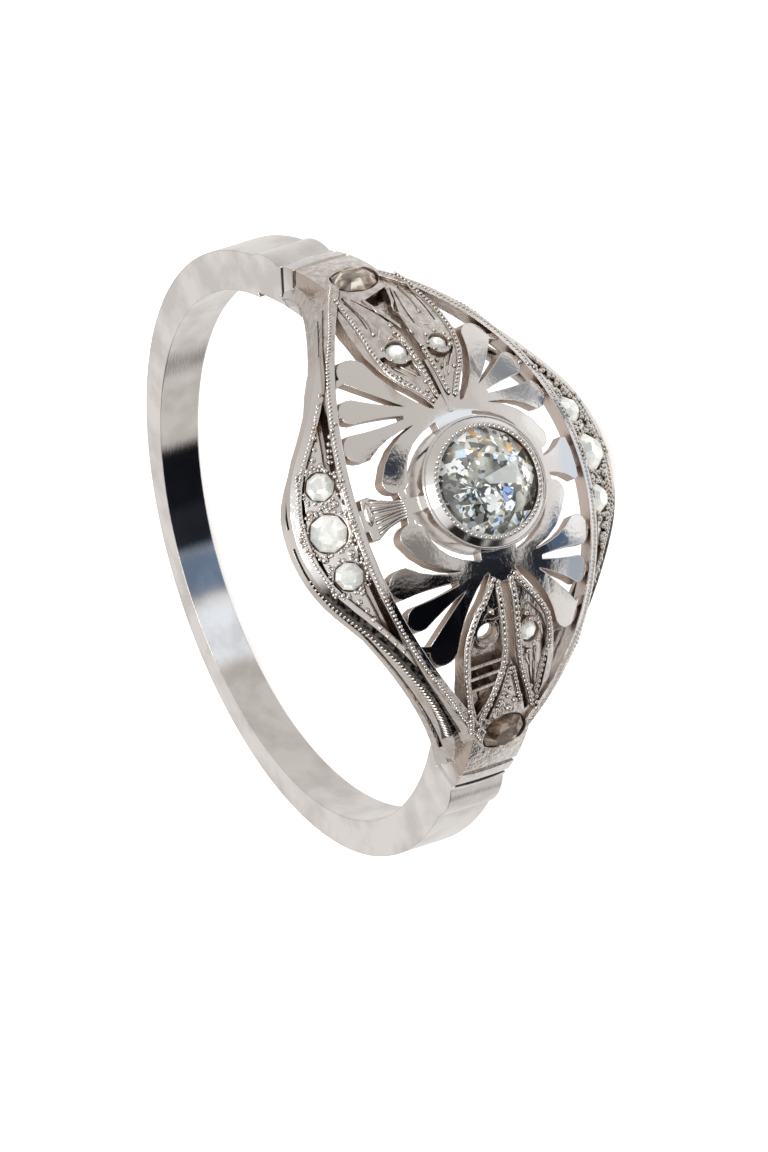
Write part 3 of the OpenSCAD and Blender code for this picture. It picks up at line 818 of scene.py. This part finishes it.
# Stretches of the rails that have grain, in tenths of a mm: whole, and where one outer rail shows it
WHOLE_RAIL = range(-72, 73)
WORN_RAIL = range(-14, 40)
# Channel with black painted shade, in twentieths of a mm, and its teeth: pitch, width and thickness in mm
CHANNEL_RUN = range(24, 138)
TOOTH = (0.15, 0.1, 0.14)


class RING_OT_rails(bpy.types.Operator):
    """Lays the grain rows along the outer and inner rails, and the teeth of the channel with painted shade
    """

    bl_idname = "ring.rails"
    bl_label = "Rail grain"

    def execute(self, context):
        looks = settings_of(context)
        pitch, size = looks.rail_pitch / MM, 0.85 * looks.grain / MM
        bm = bmesh.new()
        for side in (1, -1):
            inner = []
            for x in (i / 10 for i in WHOLE_RAIL):
                arc = INNER_Y - INNER_R + math.sqrt(INNER_R ** 2 - x * x)
                inner.append((x, side * min(arc, outline_y(x) - RAIL_W)))
            rail_row(MAIN, inner, pitch, size, bm)
        finish_piece("inner_rail_grain", bm, "grain")
        bm, inset = bmesh.new(), 0.2
        for side, run in ((1, WORN_RAIL), (-1, WHOLE_RAIL)):
            outer = [(x, side * (outline_y(x) - inset * outline_slant(x))) for x in (i / 10 for i in run)]
            rail_row(SIDE, outer, pitch, size, bm)
        finish_piece("outer_rail_grain", bm, "grain")
        # The channel is toothed along its lower edge
        bm, dice = bmesh.new(), random.Random(2)
        pitch, width, thickness = TOOTH
        for side in (1, -1):
            foot = [border_point(-x, side * outline_y(x), CHANNEL[0]) for x in (i / 20 for i in CHANNEL_RUN)]
            for point, heading in walk(foot, pitch):
                place = axes_at(point, Vector((heading.y, -heading.x, 0)), heading)
                bead(bm, place, width, dice.uniform(0.2, 0.34), thickness)
        finish_piece("channel_teeth", bm, "grain")
        return {"FINISHED"}


BEZEL_LIP_Z = 12.6
# Grain row round the bezel: radius, pitch and size of a grain
BEZEL_ROW = (1.74, 0.165, 0.15)
# Rolled edge at the foot of the bezel's slope: radius and height, and half its width and height
BEZEL_EDGE = (2.03, 12.31)
BEZEL_EDGE_ROLL = (0.06, 0.07)


class RING_OT_bezel(bpy.types.Operator):
    """Lays the grain row round the bezel's lip, and rolls the edge of its slope"""

    bl_idname = "ring.bezel"
    bl_label = "Bezel grain"

    def execute(self, context):
        radius, pitch, size = BEZEL_ROW
        bm = bmesh.new()
        count = round(2 * math.pi * radius / pitch)
        for i in range(count):
            a = 2 * math.pi * i / count
            point = Vector((radius * math.cos(a), radius * math.sin(a), BEZEL_LIP_Z - 0.01))
            heading = Vector((-math.sin(a), math.cos(a), 0))
            bead(bm, axes_at(point, Vector((0, 0, 1)), heading), pitch * 0.9, size, size)
        finish_piece("bezel_grain", bm, "grain")
        bm = bmesh.new()
        section = (Matrix.Translation((BEZEL_EDGE[0], 0, BEZEL_EDGE[1]))
                   @ Matrix.Rotation(math.radians(90), 4, "X") @ Matrix.Diagonal((*BEZEL_EDGE_ROLL, 1, 1)))
        ring = bmesh.ops.create_circle(bm, segments=8, radius=1.0, matrix=section)["verts"]
        bmesh.ops.spin(bm, geom=ring + ring_edges(ring), cent=(0, 0, 0), axis=(0, 0, 1), angle=2 * math.pi,
                       steps=72, use_merge=True)
        finish_piece("bezel_rim", bm, "polish")
        return {"FINISHED"}


# Grain rows of the leaves: the side along the shoulders, the side across, and the line in mm
LEAF_TIP = ((2.85, 0.38), (3.2, 0.6), (3.5, 0.84), (3.75, 1.06))
LEAF_ROWS = (
    (1, 1, (*LEAF_TIP, (4.2, 1.25), (4.75, 1.32), (5.3, 1.28), (5.75, 1.23), (6.15, 1.2), (6.7, 1.14))),
    (1, 1, ((2.95, 0.21), (4.2, 0.2), (4.95, 0.22), (5.25, 0.34))),
    (1, -1, (*LEAF_TIP, (4.2, 1.3), (4.78, 1.46), (5.6, 1.47), (6.35, 1.33), (6.95, 1.16))),
    (1, -1, ((2.95, 0.21), (4.2, 0.2), (4.7, 0.22))),
    (-1, 1, (*LEAF_TIP, (4.2, 1.32), (4.6, 1.47), (5.4, 1.5), (6.3, 1.36), (6.95, 1.2))),
    (-1, 1, ((2.95, 0.24), (4.2, 0.2), (5.2, 0.23), (5.83, 0.44), (6.4, 0.74), (6.95, 1.04))),
    (-1, -1, (*LEAF_TIP, (4.05, 1.26), (4.4, 1.42), (4.96, 1.42), (5.7, 1.26), (6.2, 1.12), (6.8, 1.0))),
    (-1, -1, ((2.95, 0.24), (3.6, 0.28), (5.0, 0.27), (5.7, 0.4), (6.2, 0.64), (6.8, 0.9))),
)
# Wedges before the second end stone: the line of each row, and its grains' pitch and size
WEDGE = ((5.5, 0.04), (6.0, 0.2), (6.55, 0.42))
WEDGE_GRAIN = (0.15, 0.12)
# Plain raised edges on the leaves and the plates beside them: a line and its width in mm
LEAF_RIDGES = (
    (((6.75, 0.86), (6.2, 0.82), (5.7, 0.8), (5.2, 0.98)), 0.13),
    (((6.5, 0.42), (5.9, 0.26), (5.3, 0.24)), 0.12),
    (((6.6, -0.55), (6.1, -0.36), (5.4, -0.24), (4.9, -0.22)), 0.12),
    (((6.6, -0.98), (6.0, -1.0), (5.6, -0.92)), 0.1),
    (((-5.35, -0.5), (-5.9, -0.62), (-6.4, -0.86)), 0.1),
    (((-5.2, -0.95), (-5.8, -0.96), (-6.3, -0.98)), 0.12),
)
# Cuts too fine to carve, drawn as lines of painted shade: lines and their width in mm
CUT_SHADE_LINES = (
    (((6.6, 1.62), (6.0, 2.08), (5.2, 2.58), (4.2, 3.1), (3.7, 3.48)), 0.07),
    (((6.5, 1.9), (5.9, 2.32), (5.3, 2.7)), 0.05),
    (((5.9, -0.3), (5.3, -0.18), (4.7, -0.16), (4.2, -0.2)), 0.07),
    (((6.6, 0.95), (6.0, 0.92), (5.5, 0.98)), 0.05),
    (((6.5, -0.72), (5.9, -0.55), (5.3, -0.5)), 0.05),
    (((6.3, -1.2), (5.8, -1.22), (5.2, -1.2)), 0.05),
    (((-5.3, 1.1), (-5.9, 1.02), (-6.4, 0.9)), 0.07),
    (((-5.2, -0.72), (-5.8, -0.76), (-6.3, -0.9)), 0.07),
)
# Engraved strokes: x and y of both ends and the width in mm
STROKES = (
    (4.3, 0.98, 3.5, 0.36, 0.1), (4.3, 0.76, 3.6, 0.24, 0.1), (4.15, 1.16, 3.35, 0.6, 0.11),
    (4.2, 0.36, 3.8, 0.24, 0.09), (5.5, 0.62, 5.15, 0.9, 0.09), (4.15, -1.05, 3.5, -0.5, 0.1),
    (4.05, -0.7, 3.45, -0.34, 0.09), (5.05, -1.2, 4.9, -0.95, 0.08), (-5.3, -0.55, -5.7, -0.75, 0.1),
    (-5.35, -0.95, -5.9, -0.9, 0.1), (-4.3, -1.05, -4.9, -1.15, 0.1),
)
# Engraved circle: its middle and radius, and the strokes that it is cut in
CIRCLE, CIRCLE_STROKES = (5.38, -0.91, 0.2), 16
# Bright end of the first trumpet, as a stroke and its rise
TRUMPET_END = (0.42, 3.53, -0.1, 3.56, 0.26, 0.6)
# Flutes of the first trumpet: a line of each from the flared end to the bezel
FLUTES = tuple(((0.17 * k, 3.42), (0.1 * k, 2.8), (0.08 * k, 2.35)) for k in range(-3, 4))
# Distance between the rings of a swept wire
WIRE_STEP = 0.2


class RING_OT_leaves(bpy.types.Operator):
    """Lays grain rows, raised edges and lines of painted shade for fine cuts on the leaves, the wedges and
    the plates
    """

    bl_idname = "ring.leaves"
    bl_label = "Leaf grain"

    def execute(self, context):
        looks = settings_of(context)
        pitch, size = looks.leaf_pitch / MM, looks.grain / MM
        bm, strip, cuts = bmesh.new(), bmesh.new(), bmesh.new()
        for x, y, line in LEAF_ROWS:
            # The rows at the first shoulder are finer and more worn
            fine = 0.8 if x > 0 else 1.0
            rail_row(MAIN, mirrored(smooth_line(line), x, y), fine * pitch, fine * size, bm, strip)
        for y in (1, -1):
            rail_row(MAIN, mirrored(smooth_line(WEDGE), -1, y), *WEDGE_GRAIN, bm, strip)
        for line, width in LEAF_RIDGES:
            wire(strip, places_along(MAIN, smooth_line(line), WIRE_STEP), width, 0.14)
        for line, width in CUT_SHADE_LINES:
            wire(cuts, places_along(MAIN, smooth_line(line), WIRE_STEP), width, 0.03)
        finish_piece("painted_cut_shade_lines", cuts, "groove_shade")
        finish_piece("leaf_grain", bm, "grain")
        finish_piece("leaf_strips", strip, "polish")
        return {"FINISHED"}


# Grains beside the border stones, on both borders and both halves: along, across, width
BORDER_SHOTS = (
    (0.74, 4.98, 0.26), (0.8, 4.3, 0.24), (0.66, 5.1, 0.16), (2.02, 4.62, 0.2), (2.05, 4.25, 0.2),
    (2.3, 4.36, 0.2), (2.6, 4.2, 0.18), (2.9, 4.05, 0.17), (3.2, 3.9, 0.16), (3.5, 3.72, 0.15),
    (3.8, 3.52, 0.13), (4.1, 3.3, 0.12), (0.15, 4.02, 0.16), (0.45, 4.08, 0.16), (1.2, 4.0, 0.16),
    (1.6, 4.02, 0.16),
)
SLOT_SHOTS = tuple((2.1 + 0.16 * i, 4.0 - 0.035 * i - 0.012 * i * i, 0.17) for i in range(8))
# Grains on the leaves, each at its own place
LEAF_SHOTS = (
    (4.31, 0.2, 0.18), (3.96, 0.26, 0.16), (3.5, 0.3, 0.15), (3.2, 0.4, 0.15), (3.86, 0.98, 0.17),
    (3.57, 0.8, 0.16), (5.12, 0.5, 0.16), (4.4, 1.12, 0.16), (4.4, -0.6, 0.17), (4.55, -1.22, 0.17),
    (4.1, -0.5, 0.16), (3.86, -0.56, 0.15), (3.7, -0.85, 0.15), (4.9, -0.6, 0.16), (-4.15, -0.66, 0.24),
    (-5.25, -0.67, 0.24), (-3.75, 0.6, 0.2), (-3.95, 0.42, 0.16), (-6.45, 0.25, 0.22),
    (-6.62, 0.0, 0.24), (-6.3, 0.05, 0.18), (-6.45, -0.2, 0.2), (-6.1, 0.0, 0.14),
)
# Stones that grains lie round, those of a border and those of the leaves: along, across, radius
BORDER_STONES = ((0, 4.72, 0.6), (1.45, 4.5, 0.45), (-1.45, 4.5, 0.45))
LEAF_STONES = ((4.69, 0.58, 0.35), (4.6, -0.85, 0.29), (-4.69, -0.72, 0.32))
# Loose grains round each border stone: how many, how far from its edge, width
LOOSE_COUNT, LOOSE_REACH, LOOSE_WIDTH = 26, (0.05, 0.22), (0.08, 0.16)
# Grains pushed over a stone's edge: pitch on the borders and on the leaves, place past the edge, width
RIM_PITCH, RIM_PAST, RIM_WIDTH = {SIDE: 0.15, MAIN: 0.34}, 0.07, (0.11, 0.18)
# Grains in the slot between the far border's stones and its outer rail: pitch, place in from the
# outline, width
FILL_PITCH, FILL_IN, FILL_WIDTH = 0.14, (0.34, 0.44), (0.16, 0.24)


def border_shots():
    """Grains at their own places, the same on both borders and both halves of each."""
    shots = [(SIDE, x * along, y * across, width)
             for along, across, width in BORDER_SHOTS for x in (1, -1) for y in (1, -1)]
    return shots + [(SIDE, along, side * across, width)
                    for along, across, width in SLOT_SHOTS for side in (1, -1)]


def loose_shots(dice):
    """Grains scattered round the border stones, short of the outer rail."""
    for side in (1, -1):
        for along, across, radius in BORDER_STONES:
            for _ in range(LOOSE_COUNT):
                turn, reach = dice.uniform(0, 2 * math.pi), radius + dice.uniform(*LOOSE_REACH)
                y = min(across + reach * math.sin(turn), outline_y(along) - 0.3)
                yield SIDE, along + reach * math.cos(turn), side * y, dice.uniform(*LOOSE_WIDTH)


def rim_shots(dice):
    """Small grains pushed over each stone's edge."""
    rims = [(SIDE, x, side * y, radius) for x, y, radius in BORDER_STONES for side in (1, -1)]
    for dome, x, y, radius in rims + [(MAIN, *stone) for stone in LEAF_STONES]:
        count = round(2 * math.pi * radius / RIM_PITCH[dome])
        for i in range(count):
            turn = 2 * math.pi * (i + dice.uniform(-0.3, 0.3)) / count
            reach = radius + RIM_PAST
            yield dome, x + reach * math.cos(turn), y + reach * math.sin(turn), dice.uniform(*RIM_WIDTH)


class RING_OT_shots(bpy.types.Operator):
    """Sets the round grains that hold the small stones"""

    bl_idname = "ring.shots"
    bl_label = "Setting grain"

    def execute(self, context):
        dice = random.Random(5)
        along = Vector((1, 0, 0))
        bm = bmesh.new()
        leaves = [(MAIN, *shot) for shot in LEAF_SHOTS]
        for dome, x, y, width in (*border_shots(), *leaves, *loose_shots(dice), *rim_shots(dice)):
            hit, up = METAL["surface"].drop(dome, x, y)
            if hit is not None:
                bead(bm, axes_at(hit + up * width * 0.12, up, along), width, width, width)
        for i in range(-20, 21):
            x = FILL_PITCH * i
            point = border_point(x, dice.uniform(*FILL_IN) - outline_y(x), 0.08)
            bead(bm, axes_at(point, point, along), *(dice.uniform(*FILL_WIDTH),) * 3)
        finish_piece("setting_grain", bm, "grain")
        return {"FINISHED"}


class RING_OT_engraving(bpy.types.Operator):
    """Cuts the strokes on the leaves, and the flutes and the bright end of the first trumpet"""

    bl_idname = "ring.engraving"
    bl_label = "Engraving"

    def execute(self, context):
        x, y, radius = CIRCLE
        turns = [2 * math.pi * i / CIRCLE_STROKES for i in range(CIRCLE_STROKES + 1)]
        circle = [(x + radius * math.cos(a), y + radius * math.sin(a)) for a in turns]
        lines = [(*line, 0.9) for line in STROKES] + [TRUMPET_END]
        lines += [(*a, *b, 0.06, 0.8) for a, b in zip(circle, circle[1:])]
        drop = METAL["surface"].drop
        bm = bmesh.new()
        for x0, y0, x1, y1, width, rise in lines:
            start, end = drop(MAIN, x0, y0)[0], drop(MAIN, x1, y1)[0]
            middle, up = drop(MAIN, (x0 + x1) / 2, (y0 + y1) / 2)
            if None not in (start, end, middle):
                bead(bm, axes_at(middle, up, end - start), (end - start).length + width, width, width * rise)
        finish_piece("engraved_lines", bm, "grain")
        bm, cuts = bmesh.new(), bmesh.new()
        for line in FLUTES:
            wire(bm, places_along(MAIN, smooth_line(line), WIRE_STEP), 0.09, 0.07)
        # Lines of painted shade beside every other flute, for cuts too fine to carve
        for line in FLUTES[::2]:
            beside = smooth_line([(x + 0.05, y) for x, y in line])
            wire(cuts, places_along(MAIN, beside, WIRE_STEP), 0.035, 0.03)
        finish_piece("trumpet_flutes", bm, "polish")
        finish_piece("trumpet_cut_shade", cuts, "groove_shade")
        return {"FINISHED"}


class RING_OT_stones(bpy.types.Operator):
    """Gives the stones their cut-stone materials"""

    bl_idname = "ring.stones"
    bl_label = "Stones"

    def execute(self, context):
        cuts = {"centre": (cut_diamond(), "diamond"), "border": (rose_diamond(), "diamond"),
                "end": (smoky_stone(settings_of(context)), "smoky_stone")}
        cuts["leaf"] = cuts["border"]
        for node in sorted(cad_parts):
            kind = node.split("_")[0]
            if kind in cuts:
                merged_copy(node, "cut_" + node, *cuts[kind]).data.shade_flat()
        return {"FINISHED"}


class RING_PT_looks(bpy.types.Panel):
    """The ring's steps, in order"""

    bl_label = "Engagement ring"
    bl_idname = "RING_PT_looks"
    bl_space_type = "VIEW_3D"
    bl_region_type = "UI"
    bl_category = "Ring"

    def draw(self, context):
        looks = settings_of(context)
        for name in looks.bl_rna.properties.keys():
            if name not in ("rna_type", "name"):
                self.layout.prop(looks, name)
        for step in STEPS:
            self.layout.operator(step.bl_idname)


STEPS = (RING_OT_stage, RING_OT_mount, RING_OT_rails, RING_OT_bezel, RING_OT_leaves, RING_OT_shots,
         RING_OT_engraving, RING_OT_stones)
CLASSES = (RingSettings, *STEPS, RING_PT_looks)


def register():
    for cls in CLASSES:
        bpy.utils.register_class(cls)
    bpy.types.Scene.ring_looks = PointerProperty(type=RingSettings)


def unregister():
    del bpy.types.Scene.ring_looks
    for cls in reversed(CLASSES):
        bpy.utils.unregister_class(cls)


def main():
    register()
    for step in STEPS:
        getattr(bpy.ops.ring, step.bl_idname.split(".")[1])()


if __name__ == "__main__":
    main()
